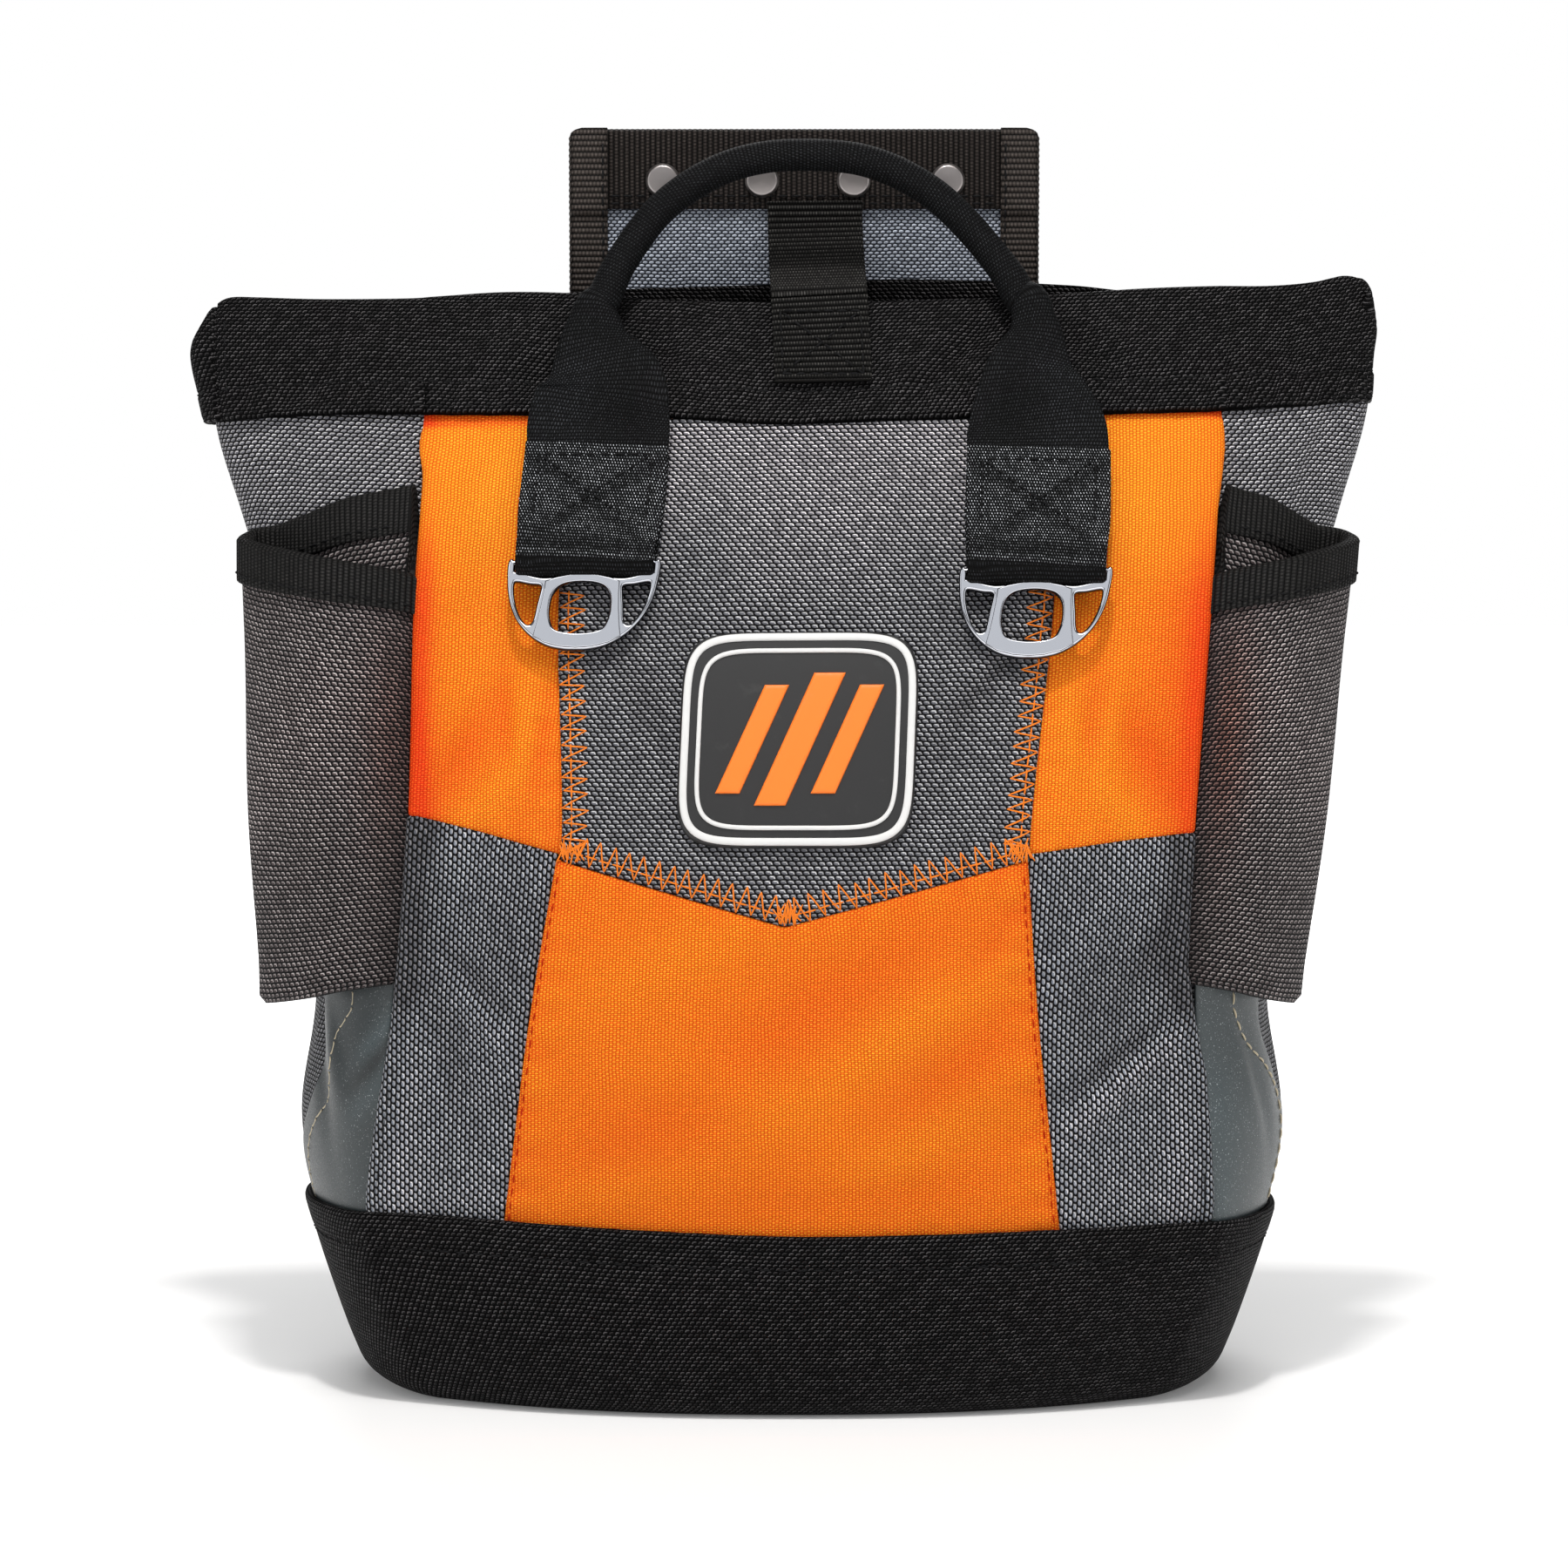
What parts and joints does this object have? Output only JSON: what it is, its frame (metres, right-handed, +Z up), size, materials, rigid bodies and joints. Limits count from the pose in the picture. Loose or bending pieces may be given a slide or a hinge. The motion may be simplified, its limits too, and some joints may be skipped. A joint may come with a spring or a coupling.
{
  "type": "tool pouch",
  "caption": "Soft open-mouth tool pouch with a panelled front, base boot, side pockets, rolled handle on D-rings, pull strap and a riveted belt panel behind.",
  "frame": {"origin": "centre of the bounding box at the underside of the boot", "axes": "+Z up from the base to the mouth, -Y out of the front with the rings, +X to the right as seen from the front"},
  "size_m": [0.3182, 0.1302, 0.333],
  "materials": {
    "grey_cloth": "coarse woven dark grey cloth",
    "orange_cloth": "fine woven fluorescent orange cloth",
    "black_cloth": "coarse woven black cloth",
    "black_webbing": "ribbed black webbing and tape",
    "silver_cloth": "grainy reflective silver tape",
    "blue_grey_cloth": "coarse woven blue-grey cloth",
    "chrome": "bright polished plating",
    "nickel": "polished nickel",
    "badge_rubber": "matt moulded rubber"
  },
  "bodies": {
    "pouch": {"base_boot": "black_cloth", "front_yoke": "grey_cloth", "front_strip_left": "orange_cloth", "front_strip_right": "orange_cloth", "front_lower_centre": "orange_cloth", "front_lower_left": "grey_cloth", "front_lower_right": "grey_cloth", "side_gusset_left": "grey_cloth", "side_gusset_right": "grey_cloth", "reflective_strip_left": "silver_cloth", "reflective_strip_right": "silver_cloth", "back_panel": "grey_cloth", "top_band_front": "black_cloth", "top_band_back": "black_cloth", "top_band_end_left": "black_cloth", "top_band_end_right": "black_cloth", "pocket_left": "grey_cloth", "pocket_right": "grey_cloth", "pocket_binding_left": "black_webbing", "pocket_binding_right": "black_webbing", "handle": "black_webbing", "ring_tab_left": "black_webbing", "ring_tab_right": "black_webbing", "pull_strap": "black_webbing", "belt_panel": "blue_grey_cloth", "belt_panel_binding_left": "black_webbing", "belt_panel_binding_right": "black_webbing", "belt_panel_band": "black_webbing", "belt_loop": "black_cloth", "rivet_1": "nickel", "rivet_2": "nickel", "rivet_3": "nickel", "rivet_4": "nickel", "badge": "badge_rubber"},
    "ring_left": {"d_ring_left": "chrome"},
    "ring_right": {"d_ring_right": "chrome"}
  },
  "joints": [
    {"name": "ring_left_swing", "type": "hinge", "parent": "pouch", "child": "ring_left", "pos_m": [-0.05085, -0.04421, 0.21785], "axis": [-1, 0, 0], "range_deg": [0, 110]},
    {"name": "ring_right_swing", "type": "hinge", "parent": "pouch", "child": "ring_right", "pos_m": [0.06264, -0.04542, 0.21595], "axis": [-1, 0, 0], "range_deg": [0, 110]}
  ]
}
